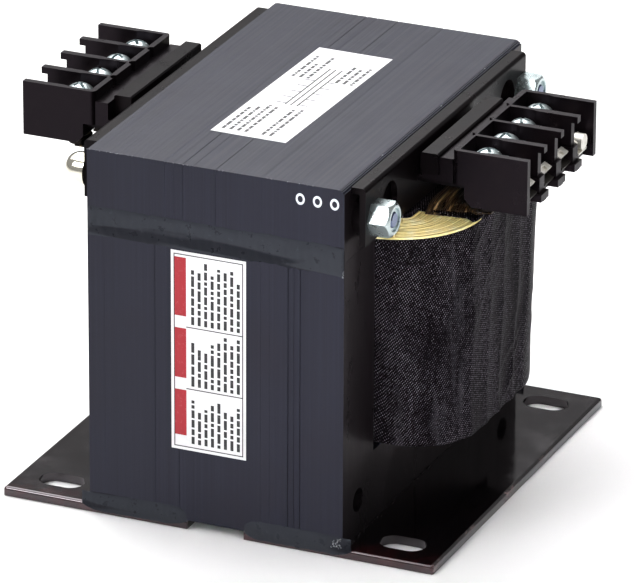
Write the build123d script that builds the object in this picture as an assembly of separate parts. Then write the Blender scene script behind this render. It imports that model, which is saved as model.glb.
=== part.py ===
from build123d import *
import os

# Open-frame control transformer: welded E-I lamination core on two slotted feet, one coil on the
# centre leg, and a four-pole terminal block on a bracket at each end. Millimetres.
# X is the stack direction (coil ends and terminal blocks at +X and -X), Y the long side of the
# core, Z up. The origin is at the middle of the footprint, on the underside of the feet.

TONGUE = 44.45                  # centre leg of the lamination; every other core size follows from it
CORE_Y = 3 * TONGUE
CORE_Z = 2.5 * TONGUE
YOKE = TONGUE / 2
STACK = 80.4
HX, HY = STACK / 2, CORE_Y / 2
CORE_HOLE_R = 3.6
HOLE_Y = HY - YOKE / 2          # lamination holes sit midway across the yoke and the outer legs

FOOT_T = 2.7
FOOT_IN, FOOT_OUT = 9.0, 68.5
FOOT_CORNER_R = 0.8
SLOT_X, SLOT_Y = 54.45, HOLE_Y
SLOT_LEN, SLOT_W = 14.2, 8.8
CORE_TOP = FOOT_T + CORE_Z
BOLT_Z = CORE_TOP - YOKE / 2

WEB_OUT = 44.7                  # outer face of the bracket web
SHEET_T = 1.9
BRACKET_FRONT, BRACKET_BACK = -62.0, 59.0
BRACKET_TOP = CORE_TOP - 0.5
BRACKET_BOTTOM = 95.7
WINDOW_Y, WINDOW_R = 44.45, 5.5
SHELF_OUT, SHELF_HY, SHELF_TOP = 60.0, 24.0, 104.2

BOLT_R = 2.4
HEX_AF, NUT_T = 9.5, 6.4
NUT_FACE_R, NUT_RECESS_R = 4.3, 3.5
BOLT_HEAD_R, BOLT_HEAD_T = 5.0, 7.3

PITCH = 13.0
POLES = [(k - 1.5) * PITCH for k in range(4)]
BLOCK_IN, BLOCK_OUT = 56.6, 79.8
BLOCK_HY = 26.9
BLOCK_BOTTOM, BLOCK_TOP = 98.0, 114.7
POCKET_W, SCOOP_R = 10.6, 5.8
TERM_X = 64.7
PLATE_TOP, PLATE_T = 109.4, 1.2
BAY_IN, BAY_FLOOR, FLOOR_OUT = 71.6, 100.0, 76.6
RAIL_IN, RAIL_OUT = 47.0, 52.5
RAIL_LOW, RAIL_TOP = 106.4, 112.8
LEDGE_TOP = 111.6

CLAMP_T = 1.2
HEAD_R, HEAD_H, SHANK_R = 4.1, 3.2, 1.95
TAIL_R, TAIL_BORE, TAIL_END = 3.0, 2.25, 95.7

COIL_LAYERS = {                 # outer ends at -X and +X, half width, corner radius, bottom and top
    "coil_tube": (-41.8, 41.8, 23.8, 2.0, 25.4, 91.1),
    "primary_winding": (-51.2, 51.2, 32.8, 16.0, 27.2, 89.1),
    "secondary_winding": (-57.5, 60.0, 40.5, 25.0, 27.2, 89.1),
    "paper_wrap": (-58.4, 61.0, 41.4, 26.0, 26.2, 90.2),
}
# The tape is pulled in round the top and spreads towards the bottom. Each outline has its ends,
# half width, height and the radius of its corners at +X -Y, +X +Y and -X.
TAPE_LOW = (-59.6, 64.6, 42.7, 26.7, 20.0, 32.0, 26.5)
TAPE_HIGH = (-59.5, 62.1, 42.4, 89.7, 27.0, 19.0, 26.5)
TUBE_BORE = (-40.6, 40.6, 22.6, 1.0)
LEAD_R, LEAD_BEND = 1.1, 1.5
LEAD_Y, LEAD_Z = -21.0, 93.0

os.makedirs("parts", exist_ok=True)


def box(x0, x1, y0, y1, z0, z1):
    return Pos((x0 + x1) / 2, (y0 + y1) / 2, (z0 + z1) / 2) * Box(x1 - x0, y1 - y0, z1 - z0)


def rod_x(x0, x1, y, z, r):
    return Pos((x0 + x1) / 2, y, z) * Rot(0, 90, 0) * Cylinder(r, x1 - x0)


def rod_z(x, y, z0, z1, r):
    return Pos(x, y, (z0 + z1) / 2) * Cylinder(r, z1 - z0)


def turned(shape):
    # The left end is the right end turned half a turn about Z.
    return Rot(0, 0, 180) * shape


def save(shape, name):
    export_step(shape, f"parts/{name}.step")


def rounded_slab(x0, x1, hy, r, z0, z1):
    return extrude(Pos((x0 + x1) / 2, 0, z0) * RectangleRounded(x1 - x0, 2 * hy, r), z1 - z0)


def bead(x0, x1, z, width, rise, side):
    # A flat weld bead: a circle segment on the core face at y = side * HY, drawn along X.
    radius = (width * width / 4 + rise * rise) / (2 * rise)
    face_y = side * HY
    rod = rod_x(x0, x1, face_y - side * (radius - rise), z, radius)
    return rod & box(x0, x1, min(face_y, face_y + side * 3), max(face_y, face_y + side * 3),
                     z - width, z + width)


# Core ------------------------------------------------------------------------------------------
leg_top = CORE_TOP - YOKE
e_core = box(-HX, HX, -HY, HY, FOOT_T, leg_top)
for side in (-1, 1):
    mid = side * 0.75 * TONGUE
    e_core -= box(-HX, HX, mid - YOKE / 2, mid + YOKE / 2, FOOT_T + YOKE, leg_top)
    e_core -= rod_x(-HX, HX, side * HOLE_Y, FOOT_T + YOKE / 2, CORE_HOLE_R)
save(e_core, "core_e_stack")

i_core = box(-HX, HX, -HY, HY, leg_top, CORE_TOP)
for side in (-1, 1):
    i_core -= rod_x(-HX, HX, side * HOLE_Y, BOLT_Z, CORE_HOLE_R)
save(i_core, "core_i_stack")

for side, name in ((-1, "front"), (1, "back")):
    save(bead(-HX, HX, leg_top + 0.5, 9.6, 0.7, side), f"weld_yoke_{name}")

# Feet ------------------------------------------------------------------------------------------
plate = box(FOOT_IN, FOOT_OUT, -HY, HY, 0, FOOT_T)
outer = plate.edges().filter_by(Axis.Z).group_by(Axis.X)[-1]
plate = fillet(outer, FOOT_CORNER_R)
for side in (-1, 1):
    plate -= extrude(Pos(SLOT_X, side * SLOT_Y, 0) * SlotOverall(SLOT_LEN, SLOT_W), FOOT_T)
foot_edges = plate.faces().sort_by(Axis.Z)[-1].outer_wire().edges()
plate = fillet(foot_edges.group_by(Axis.X)[-1], 1.0)
save(plate, "foot_right")
save(turned(plate), "foot_left")

welds = Compound([bead(FOOT_IN + 0.2, HX - 0.1, 3.6, 6.6, 0.6, side) for side in (-1, 1)])
save(welds, "weld_foot_right")
save(turned(welds), "weld_foot_left")

# Brackets: top flange against the core side, a web hanging from it and a shelf for the block ----
web_in = WEB_OUT - SHEET_T
bracket = box(HX, WEB_OUT, BRACKET_FRONT, BRACKET_BACK, BRACKET_TOP - SHEET_T, BRACKET_TOP)
bracket += box(web_in, WEB_OUT, BRACKET_FRONT, BRACKET_BACK, BRACKET_BOTTOM, BRACKET_TOP)
bracket += box(web_in, SHELF_OUT, -SHELF_HY, SHELF_HY, SHELF_TOP - SHEET_T, SHELF_TOP)
corner = bracket.edges().filter_by(Axis.Y).sort_by(lambda e: -e.center().Z - 0.1 * e.center().X)[0]
bracket = fillet(corner, 1.2)
for side in (-1, 1):
    bracket -= rod_x(web_in - 1, WEB_OUT + 1, side * WINDOW_Y, BOLT_Z + 1.2, WINDOW_R)
    bracket -= rod_x(web_in - 1, WEB_OUT + 1, side * HOLE_Y, BOLT_Z, BOLT_R + 0.35)
save(bracket, "bracket_right")
save(turned(bracket), "bracket_left")

spacers = []
for end in (-1, 1):
    for side in (-1, 1):
        x0, x1 = sorted((end * HX, end * web_in))
        tube = rod_x(x0, x1, side * HOLE_Y, BOLT_Z, 6.0)
        spacers.append(tube - rod_x(x0, x1, side * HOLE_Y, BOLT_Z, BOLT_R + 0.35))
save(Compound(spacers), "bracket_spacers")

# Through bolts and their lock nuts -----------------------------------------------------------------
def lock_nut(x0, y, z):
    # A hexagon with crowned corners and a shallow round recess in its outer face.
    hexagon = RegularPolygon(HEX_AF / 2, 6, False, rotation=30)
    body = Pos(x0, y, z) * Rot(0, 90, 0) * extrude(hexagon, NUT_T)
    crown = 7.2
    centre = x0 + NUT_T - (crown ** 2 - NUT_FACE_R ** 2) ** 0.5
    body &= Pos(centre, y, z) * Rot(0, 90, 0) * Sphere(crown)
    return body - rod_x(x0 + NUT_T - 0.6, x0 + NUT_T, y, z, NUT_RECESS_R)


shank_end = WEB_OUT + NUT_T - 0.1
for side, name in ((-1, "front"), (1, "back")):
    y = side * HOLE_Y
    head = rod_x(-WEB_OUT - BOLT_HEAD_T, -WEB_OUT, y, BOLT_Z, BOLT_HEAD_R)
    head = fillet(head.edges().sort_by(Axis.X)[0], BOLT_HEAD_R - 0.3)
    shank = rod_x(-WEB_OUT, shank_end, y, BOLT_Z, BOLT_R)
    shank = chamfer(shank.edges().sort_by(Axis.X)[-1], 0.4)
    save(head + shank, f"through_bolt_{name}")
    nut = lock_nut(WEB_OUT, y, BOLT_Z)
    save(nut - rod_x(-WEB_OUT, shank_end, y, BOLT_Z, BOLT_R), f"bolt_nut_{name}")

# Coil: nested layers around the centre leg ---------------------------------------------------------
bore = TUBE_BORE
for name, (x0, x1, hy, r, z0, z1) in COIL_LAYERS.items():
    save(rounded_slab(x0, x1, hy, r, z0, z1) - rounded_slab(*bore, z0, z1), name)
    bore = (x0 - 0.05, x1 + 0.05, hy + 0.05, r + 0.05)


def tape_outline(x0, x1, hy, z, near_r, far_r, left_r):
    sketch = Pos((x0 + x1) / 2, 0) * Rectangle(x1 - x0, 2 * hy)
    for x, y, r in ((x1, -hy, near_r), (x1, hy, far_r), (x0, hy, left_r), (x0, -hy, left_r)):
        corner = min(sketch.vertices(), key=lambda v: (v.X - x) ** 2 + (v.Y - y) ** 2)
        sketch = fillet(corner, r)
    return Pos(0, 0, z) * sketch


tape = loft([tape_outline(*TAPE_LOW), tape_outline(*TAPE_HIGH)], ruled=True)
save(tape - rounded_slab(*bore, TAPE_LOW[3], TAPE_HIGH[3]), "tape_wrap")

tube_x0, tube_x1, tube_hy, tube_r = COIL_LAYERS["coil_tube"][:4]
wound = COIL_LAYERS["secondary_winding"][:4]
for name, z0, z1 in (("end_paper_top", 89.15, 90.0), ("end_paper_bottom", 26.4, 27.15)):
    hole = rounded_slab(tube_x0 - 0.05, tube_x1 + 0.05, tube_hy + 0.05, tube_r, z0, z1)
    save(rounded_slab(*wound, z0, z1) - hole, name)

# Terminal blocks -----------------------------------------------------------------------------------
with BuildPart() as moulding:
    with BuildSketch(Plane.XZ.offset(-BLOCK_HY)):
        with BuildLine():
            Polyline((BLOCK_IN, BLOCK_TOP), (BLOCK_IN, SHELF_TOP), (60.4, SHELF_TOP),
                     (60.4, 100.2), (62.6, BLOCK_BOTTOM), (BLOCK_OUT, BLOCK_BOTTOM),
                     (BLOCK_OUT, BLOCK_TOP), close=True)
        make_face()
    extrude(amount=2 * BLOCK_HY)
inner_corners = moulding.part.edges().filter_by(Axis.Z).group_by(Axis.X)[0]
block = fillet(inner_corners, 1.6)
block += box(RAIL_IN, BLOCK_IN, -BLOCK_HY + 0.6, BLOCK_HY - 0.6, SHELF_TOP, RAIL_LOW)
block += box(RAIL_OUT, BLOCK_IN, -BLOCK_HY + 0.6, BLOCK_HY - 0.6, RAIL_LOW, LEDGE_TOP)
for y in POLES:
    w = POCKET_W / 2
    block -= box(BLOCK_IN + 1.8, BLOCK_OUT, y - w, y + w, PLATE_TOP - PLATE_T, BLOCK_TOP)
    block -= box(BLOCK_IN + 1.8, TERM_X, y - SCOOP_R, y + SCOOP_R, PLATE_TOP - PLATE_T, BLOCK_TOP)
    block -= rod_z(TERM_X, y, PLATE_TOP - PLATE_T, BLOCK_TOP, SCOOP_R)
    block -= box(BAY_IN, BLOCK_OUT, y - w, y + w, BAY_FLOOR, BLOCK_TOP)
    block -= box(FLOOR_OUT, BLOCK_OUT, y - w, y + w, BLOCK_BOTTOM, BAY_FLOOR)
    block -= rod_z(TERM_X, y, BLOCK_BOTTOM, BLOCK_TOP, TAIL_R)
for k in range(3):
    y = POLES[k] + PITCH / 2
    # Each inner barrier ends in a small lip above and a thicker post with a foot below, and the
    # inner wall has a rounded groove behind it.
    block -= rod_z(BLOCK_IN, y, LEDGE_TOP, BLOCK_TOP, 1.3)
    block -= box(BLOCK_OUT - 1.9, BLOCK_OUT, y - 2, y + 2, BAY_FLOOR, BLOCK_TOP - 2.0)
    block += box(BLOCK_OUT - 4.6, BLOCK_OUT - 1.0, y - 1.9, y + 1.9, BAY_FLOOR - 0.8, 105.2)
    block += box(BLOCK_OUT - 4.6, BLOCK_OUT, y - 2.9, y + 2.9, BLOCK_BOTTOM + 0.2, BAY_FLOOR + 0.4)
save(block, "terminal_block_right")
save(turned(block), "terminal_block_left")

rail = box(RAIL_IN, RAIL_OUT, -27.5, 22.0, RAIL_LOW, RAIL_TOP)
rail = chamfer(rail.edges().filter_by(Axis.Y).group_by(Axis.Z)[-1], 0.4)
save(rail, "block_rail_right")
save(turned(rail), "block_rail_left")

terminals = []
for y in POLES:
    flat = box(BLOCK_IN + 2.1, BAY_IN + 0.6, y - 5.2, y + 5.2, PLATE_TOP - PLATE_T, PLATE_TOP)
    flat += rod_z(TERM_X, y, TAIL_END, PLATE_TOP - PLATE_T, TAIL_R)
    flat += rod_z(TERM_X, y, TAIL_END, BLOCK_BOTTOM, TAIL_R + 0.6)
    terminals.append(flat - rod_z(TERM_X, y, TAIL_END, PLATE_TOP, TAIL_BORE))
save(Compound(terminals), "terminals_right")
save(turned(Compound(terminals)), "terminals_left")


def clamp_plate(y):
    # Square wire clamp with two edges bent down a little less than its own thickness.
    pad = box(TERM_X - 4.9, TERM_X + 4.9, y - 4.7, y + 4.7, PLATE_TOP, PLATE_TOP + CLAMP_T)
    pad = fillet(pad.edges().filter_by(Axis.Z), 0.8)
    pad -= box(TERM_X + 2.9, TERM_X + 4.1, y - 5, y + 5, PLATE_TOP, PLATE_TOP + 0.4)
    pad -= box(TERM_X - 4.1, TERM_X - 2.9, y - 5, y + 5, PLATE_TOP, PLATE_TOP + 0.4)
    return pad - rod_z(TERM_X, y, PLATE_TOP, PLATE_TOP + CLAMP_T, TAIL_BORE)


def terminal_screw(y, turn):
    # Binding-head screw: domed head with a slot crossed by a short recess.
    low = PLATE_TOP + CLAMP_T
    radius = (HEAD_R ** 2 + 2.2 ** 2) / (2 * 2.2)
    head = rod_z(TERM_X, y, low, low + HEAD_H, HEAD_R)
    head &= Pos(TERM_X, y, low + HEAD_H - radius) * Sphere(radius)
    cut = box(-5, 5, -0.5, 0.5, 0, 2) + box(-0.5, 0.5, -2.1, 2.1, -0.5, 2)
    head -= Pos(TERM_X, y, low + HEAD_H - 1.15) * Rot(0, 0, turn) * cut
    shank = chamfer(rod_z(TERM_X, y, 97.2, low, SHANK_R).edges().sort_by(Axis.Z)[0], 0.5)
    return head + shank


for k, y in enumerate(POLES, 1):
    plate_k, screw_k = clamp_plate(y), terminal_screw(y, 35 * k)
    save(plate_k, f"clamp_right_{k}")
    save(screw_k, f"screw_right_{k}")
    save(turned(plate_k), f"clamp_left_{k}")
    save(turned(screw_k), f"screw_left_{k}")

# Spring clips at the outer ends of the right-hand poles ------------------------------------------
clips = []
for k, y in enumerate(POLES):
    w = 3.2
    clip = box(72.2, 76.5, y - w, y + w, BAY_FLOOR, BAY_FLOOR + 0.8)
    clip += box(75.7, 76.5, y - w, y + w, BAY_FLOOR, 105.6)
    lip = box(0, 2.6, y - w, y + w, -0.8, 0) - rod_z(1.5, y, -1, 1, 0.8)
    clip += Pos(75.7, 0, 105.9) * Rot(0, 28, 0) * lip
    clip += Pos(76.0, 0, 102.6) * Rot(0, 20, 0) * box(0, 2.9, y - w, y + w, -0.8, 0)
    if k == 3:
        clip += rod_x(76.2, 79.0, y, 104.2, 2.5)
    clips.append(clip)
save(Compound(clips), "clips_right")

# Lead pads and leads: each lead rises at the front of the coil end, lies along it on the taped pad
# and turns out to the eyelet under its pole. The coil reaches less far at the left end ------------
for name, pad_out, first_x in (("right", 61.2, 57.6), ("left", 58.7, 55.6)):
    place = turned if name == "left" else (lambda shape: shape)
    pad = box(44.9, pad_out, -17.6, 32.5, 90.25, 91.6)
    pad = fillet(pad.edges().filter_by(Axis.Z).group_by(Axis.X)[-1].sort_by(Axis.Y)[0], 6.0)
    pad = fillet(pad.edges().filter_by(Axis.Z).group_by(Axis.X)[-1].sort_by(Axis.Y)[-1], 13.0)
    save(place(pad), f"lead_pad_{name}")
    for k, y in enumerate(POLES):
        x = first_x - 3.6 * k
        points = [(x, LEAD_Y, 90.25), (x, LEAD_Y, LEAD_Z), (x, y, LEAD_Z + 0.2), (TERM_X + 2.2, y, 94.5)]
        if y < LEAD_Y + 4:
            points.pop(2)
        path = FilletPolyline(*points, radius=LEAD_BEND)
        profile = Plane(origin=path @ 0, z_dir=path % 0) * Circle(LEAD_R)
        save(place(sweep(profile, path=path)), f"lead_{name}_{k + 1}")

# Stickers ---------------------------------------------------------------------------------------------
save(box(-13.8, 9.8, -HY - 0.12, -HY, 25.2, 87.2), "label_front")
top = Pos(-1.2, -1.6, CORE_TOP + 0.06) * Rot(0, 0, -1.1) * Box(23.9, 75.2, 0.12)
save(top, "label_top")
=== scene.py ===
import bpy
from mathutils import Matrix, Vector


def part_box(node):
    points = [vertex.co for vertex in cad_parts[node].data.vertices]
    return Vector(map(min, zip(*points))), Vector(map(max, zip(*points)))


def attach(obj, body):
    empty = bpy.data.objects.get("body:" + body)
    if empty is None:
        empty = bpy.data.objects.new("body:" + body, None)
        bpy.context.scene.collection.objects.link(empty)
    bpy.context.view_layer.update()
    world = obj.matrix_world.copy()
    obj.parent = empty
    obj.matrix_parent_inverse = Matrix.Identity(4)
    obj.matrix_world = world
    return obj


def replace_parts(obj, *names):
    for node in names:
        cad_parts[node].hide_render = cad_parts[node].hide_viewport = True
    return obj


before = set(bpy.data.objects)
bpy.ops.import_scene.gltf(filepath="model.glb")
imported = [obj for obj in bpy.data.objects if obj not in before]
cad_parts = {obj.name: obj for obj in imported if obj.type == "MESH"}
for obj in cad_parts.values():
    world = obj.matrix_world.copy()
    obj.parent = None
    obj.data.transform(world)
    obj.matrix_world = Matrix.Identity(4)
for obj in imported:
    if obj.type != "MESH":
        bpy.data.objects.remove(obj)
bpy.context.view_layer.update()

import math
import random

import bmesh
import bpy
from mathutils import Matrix, Vector, noise

# An open-frame control transformer. Lengths are in metres. Positions come from the boxes of the CAD
# nodes: X is the stack direction, Y the long side of the core, and the front is at -Y.
MM = 0.001
HX, HY, LEG_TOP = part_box("core_e_stack")[1]
CORE_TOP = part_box("core_i_stack")[1].z
FOOT_OUT, _, FOOT_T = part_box("foot_right")[1]
TONGUE = 2 * HY / 3
YOKE = TONGUE / 2
random.seed(7)


# Geometry helpers ---------------------------------------------------------------------------------
def add_object(name, mesh):
    """Every piece made here belongs to the fixed body."""
    piece = bpy.data.objects.new(name, mesh)
    bpy.context.scene.collection.objects.link(piece)
    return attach(piece, "root")


def mesh_piece(name, verts, faces, material, smooth=False):
    mesh = bpy.data.meshes.new(name)
    mesh.from_pydata([tuple(v) for v in verts], [], faces)
    mesh.update()
    mesh.materials.append(material)
    if smooth:
        mesh.shade_smooth()
    return add_object(name, mesh)


def bmesh_piece(name, bm, material, smooth_angle=None):
    mesh = bpy.data.meshes.new(name)
    bmesh.ops.recalc_face_normals(bm, faces=bm.faces)
    bm.to_mesh(mesh)
    bm.free()
    mesh.materials.append(material)
    if smooth_angle is not None:
        mesh.shade_smooth()
        mesh.set_sharp_from_angle(angle=math.radians(smooth_angle))
    return add_object(name, mesh)


def grid_faces(rows, columns, wrap=False):
    """Quads between rows of points; with wrap each row is a closed ring."""
    last = columns if wrap else columns - 1
    return [
        (r * columns + c, r * columns + (c + 1) % columns,
         (r + 1) * columns + (c + 1) % columns, (r + 1) * columns + c)
        for r in range(rows - 1) for c in range(last)
    ]


def coil_outline(x0, x1, hy, near_r, far_r, left_r, arc_steps, run_steps):
    """Points round a rounded rectangle, each with its outward normal.

    The radii are those of the corners at +X -Y, at +X +Y and at both ends of -X.
    """
    corners = []
    for k, (x, y, r) in enumerate(((x1 - far_r, hy - far_r, far_r), (x0 + left_r, hy - left_r, left_r),
                                   (x0 + left_r, left_r - hy, left_r), (x1 - near_r, near_r - hy, near_r))):
        turns = [math.radians(90 * k + 90 * i / arc_steps) for i in range(arc_steps + 1)]
        normals = [Vector((math.cos(a), math.sin(a))) for a in turns]
        corners.append([(Vector((x, y)) + r * n, n) for n in normals])
    points = []
    for arc, following in zip(corners, corners[1:] + corners[:1]):
        start, n = arc[-1]
        points += arc + [(start.lerp(following[0][0], i / run_steps), n) for i in range(1, run_steps)]
    return points


# Materials ---------------------------------------------------------------------------------------
class Finish:
    """A Principled material with a few procedural layers in the piece's own coordinates."""

    def __init__(self, name, colour, **sockets):
        self.material = bpy.data.materials.new(name)
        self.material.use_nodes = True
        self.nodes, self.links = self.material.node_tree.nodes, self.material.node_tree.links
        self.shader = self.nodes["Principled BSDF"]
        self.shader.inputs["Base Color"].default_value = (*colour, 1)
        for key, value in sockets.items():
            self.shader.inputs[key.replace("_", " ")].default_value = value
        coordinate = self.nodes.new("ShaderNodeTexCoord")
        self.position, self.flat = coordinate.outputs["Object"], coordinate.outputs["UV"]
        self.height = None

    def link(self, source, node, socket):
        self.links.new(source, node.inputs[socket])

    def place(self, scale=(1, 1, 1), turn=(0, 0, 0), source=None):
        node = self.nodes.new("ShaderNodeMapping")
        node.inputs["Scale"].default_value = scale
        node.inputs["Rotation"].default_value = [math.radians(a) for a in turn]
        self.link(source or self.position, node, "Vector")
        return node.outputs["Vector"]

    def noise(self, scale, detail=4, rough=0.55, at=None):
        node = self.nodes.new("ShaderNodeTexNoise")
        node.inputs["Scale"].default_value = scale
        node.inputs["Detail"].default_value = detail
        node.inputs["Roughness"].default_value = rough
        self.link(at or self.position, node, "Vector")
        return node.outputs["Fac"]

    def cells(self, scale):
        node = self.nodes.new("ShaderNodeTexVoronoi")
        node.inputs["Scale"].default_value = scale
        self.link(self.position, node, "Vector")
        return node.outputs["Distance"]

    def wave(self, scale, at, distortion):
        node = self.nodes.new("ShaderNodeTexWave")
        node.inputs["Scale"].default_value = scale
        node.inputs["Distortion"].default_value = distortion
        self.link(at, node, "Vector")
        return node.outputs["Fac"]

    def ramp(self, value, low, high, out_low=0.0, out_high=1.0):
        node = self.nodes.new("ShaderNodeMapRange")
        node.inputs["From Min"].default_value, node.inputs["From Max"].default_value = low, high
        node.inputs["To Min"].default_value, node.inputs["To Max"].default_value = out_low, out_high
        self.link(value, node, "Value")
        return node.outputs["Result"]

    def combine(self, operation, a, b=0):
        node = self.nodes.new("ShaderNodeMath")
        node.operation = operation
        for index, value in enumerate((a, b)):
            if isinstance(value, (int, float)):
                node.inputs[index].default_value = value
            else:
                self.link(value, node, index)
        return node.outputs["Value"]

    def axis(self, name):
        node = self.nodes.new("ShaderNodeSeparateXYZ")
        self.link(self.position, node, "Vector")
        return node.outputs[name]

    def tint(self, factor, colour):
        """Mixes a colour into the base colour where the factor is high."""
        node = self.nodes.new("ShaderNodeMix")
        node.data_type = "RGBA"
        base = self.shader.inputs["Base Color"]
        if base.is_linked:
            self.link(base.links[0].from_socket, node, "A")
        else:
            node.inputs["A"].default_value = base.default_value
        node.inputs["B"].default_value = (*colour, 1)
        self.link(factor, node, "Factor")
        self.link(node.outputs["Result"], self.shader, "Base Color")
        return self

    def rough(self, value, low, high, out_low, out_high):
        self.link(self.ramp(value, low, high, out_low, out_high), self.shader, "Roughness")
        return self

    def bump(self, value, distance, strength=1.0):
        node = self.nodes.new("ShaderNodeBump")
        node.inputs["Strength"].default_value = strength
        node.inputs["Distance"].default_value = distance
        self.link(value, node, "Height")
        if self.height:
            self.link(self.height, node, "Normal")
        self.height = node.outputs["Normal"]
        self.link(self.height, self.shader, "Normal")
        return self


def core_finish():
    """Blue-black varnish over the sheet edges, each a little lighter or darker than the next."""
    f = Finish("core_varnish", (0.0125, 0.0128, 0.0215), Roughness=0.42, Specular_IOR_Level=0.45,
               Specular_Tint=(0.88, 0.88, 1.0, 1))
    sheets = f.noise(1100, 3, 0.6, f.place((1, 0.010, 0.010)))
    broad = f.noise(95, 3, 0.5, f.place((1, 0.05, 0.05)))
    blotch = f.noise(26, 5, 0.6)
    speck = f.cells(700)
    f.tint(f.ramp(sheets, 0.50, 0.78, 0, 0.6), (0.024, 0.025, 0.039))
    f.tint(f.ramp(sheets, 0.42, 0.30, 0, 0.5), (0.0070, 0.0070, 0.0125))
    f.tint(f.ramp(broad, 0.52, 0.75, 0, 0.4), (0.018, 0.018, 0.027))
    f.tint(f.ramp(blotch, 0.50, 0.8, 0, 0.6), (0.0150, 0.0120, 0.0160))
    f.tint(f.ramp(speck, 0.05, 0.02, 0, 0.4), (0.15, 0.16, 0.18))
    f.rough(f.combine("ADD", sheets, f.combine("MULTIPLY", blotch, 0.7)), 0.5, 1.1, 0.30, 0.50)
    f.bump(sheets, 0.00005, 0.5)
    f.bump(f.noise(160, 3), 0.00008, 0.25)
    return f.material


def weld_finish():
    """Varnished weld metal with long dark streaks, and lighter spots painted on as gloss highlights."""
    f = Finish("weld_varnish", (0.0310, 0.0335, 0.0400), Roughness=0.34, Specular_IOR_Level=0.27,
               Specular_Tint=(0.86, 0.88, 1.0, 1))
    streak = f.noise(150, 2, 0.45, f.place((0.10, 1, 1)))
    lump_and_highlight = f.noise(330, 4, 0.7)
    f.tint(f.ramp(streak, 0.53, 0.57, 0, 0.9), (0.0050, 0.0055, 0.0090))
    # Painted highlight: lighter spots on the bead; the same noise also sets its roughness and bumps.
    f.tint(f.ramp(lump_and_highlight, 0.62, 0.74, 0, 0.4), (0.075, 0.080, 0.095))
    f.rough(lump_and_highlight, 0.35, 0.7, 0.25, 0.5)
    f.bump(lump_and_highlight, 0.00012, 0.5)
    return f.material


def paint_finish(name, shine, roughness, coat, rusty):
    """Black-brown paint; rusty is how much redder it is near the front edge of the core."""
    f = Finish(name, (0.0042, 0.0032, 0.0038), Roughness=roughness, Specular_IOR_Level=shine,
               Specular_Tint=(1.0, 0.92, 0.98, 1), Coat_Weight=coat, Coat_Roughness=0.06)
    sag = f.noise(60, 3, 0.5)
    dust = f.cells(420)
    rust = f.noise(240, 5, 0.7)
    chips = f.noise(1300, 3, 0.7)
    f.tint(f.ramp(sag, 0.45, 0.8, 0, 0.7), (0.0085, 0.0052, 0.0052))
    f.tint(f.ramp(rust, 0.60, 0.74, 0, 0.6 * rusty), (0.030, 0.0075, 0.0070))
    front = f.ramp(f.axis("Y"), -HY + 9 * MM, -HY)
    brink = f.ramp(f.combine("ABSOLUTE", f.axis("X")), FOOT_OUT - 1.3 * MM, FOOT_OUT - 0.3 * MM)
    worn = f.combine("MULTIPLY", brink, f.ramp(f.noise(45, 2), 0.52, 0.62))
    f.tint(f.combine("MULTIPLY", front, f.ramp(rust, 0.40, 0.60, 0, rusty)), (0.040, 0.0085, 0.0095))
    f.tint(f.combine("MULTIPLY", worn, f.ramp(chips, 0.50, 0.58)), (0.22, 0.15, 0.15))
    f.tint(f.ramp(dust, 0.035, 0.012, 0, 0.6), (0.16, 0.14, 0.13))
    uneven = 0.8 if rusty else 0.2
    f.rough(f.noise(130, 4, 0.6), 0.35, 0.75, roughness * (1 - 0.5 * uneven), roughness * (1 + uneven))
    f.bump(f.noise(520, 2, 0.5), 0.00003, 0.35)
    f.bump(sag, 0.0002, 0.06)
    return f.material


def side_finish():
    """The flat outer sheets of the core, with runs of varnish and a painted reflection that leaves them paler
    above a sloping line.
    """
    f = Finish("side_varnish", (0.0068, 0.0054, 0.0062), Roughness=0.34, Specular_IOR_Level=0.42,
               Specular_Tint=(1.0, 0.85, 0.92, 1))
    run = f.noise(90, 4, 0.6, f.place((1, 1, 0.25)))
    dust = f.cells(520)
    slope = f.combine("ADD", f.axis("Z"), f.combine("MULTIPLY", f.axis("Y"), 0.65))
    # Painted reflection: the sheets are paler above a sloping line.
    f.tint(f.ramp(slope, -2.6 * MM, -0.8 * MM, 0, 0.7), (0.0105, 0.0082, 0.0092))
    f.tint(f.ramp(run, 0.45, 0.75, 0, 0.7), (0.0120, 0.0100, 0.0115))
    f.tint(f.ramp(dust, 0.04, 0.012, 0, 0.5), (0.12, 0.11, 0.12))
    f.rough(run, 0.3, 0.75, 0.24, 0.46)
    f.bump(run, 0.0002, 0.3)
    f.bump(f.noise(700, 2), 0.00003, 0.4)
    return f.material


def plastic_finish():
    """Black moulded plastic, faintly clouded."""
    f = Finish("block_plastic", (0.0042, 0.0030, 0.0038), Roughness=0.36, Specular_IOR_Level=0.22,
               Specular_Tint=(1.0, 0.84, 0.98, 1))
    cloud = f.noise(150, 4, 0.6)
    flow = f.noise(60, 3, 0.5, f.place((1, 0.3, 2)))
    f.tint(f.ramp(cloud, 0.5, 0.75, 0, 0.6), (0.0110, 0.0085, 0.0095))
    f.tint(f.ramp(flow, 0.55, 0.8, 0, 0.5), (0.0080, 0.0050, 0.0055))
    f.rough(cloud, 0.3, 0.75, 0.24, 0.46)
    f.bump(f.noise(1500, 3, 0.6), 0.00003, 0.5)
    f.bump(cloud, 0.00008, 0.2)
    return f.material


def plated_finish(name, colour, cloudy, stain, roughness):
    """Bright plating, slightly clouded and pitted."""
    f = Finish(name, colour, Metallic=0.95, Roughness=roughness)
    cloud = f.noise(380, 4, 0.6)
    pit = f.cells(1300)
    f.tint(f.ramp(cloud, 0.45, 0.75, 0, 0.5), cloudy)
    f.tint(f.ramp(f.noise(190, 3), 0.58, 0.72, 0, 0.4), stain)
    f.tint(f.ramp(pit, 0.08, 0.03, 0, 0.6), (0.12, 0.13, 0.14))
    f.rough(cloud, 0.3, 0.75, roughness * 0.75, roughness * 1.4)
    return f.bump(cloud, 0.00004, 0.3)


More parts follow.
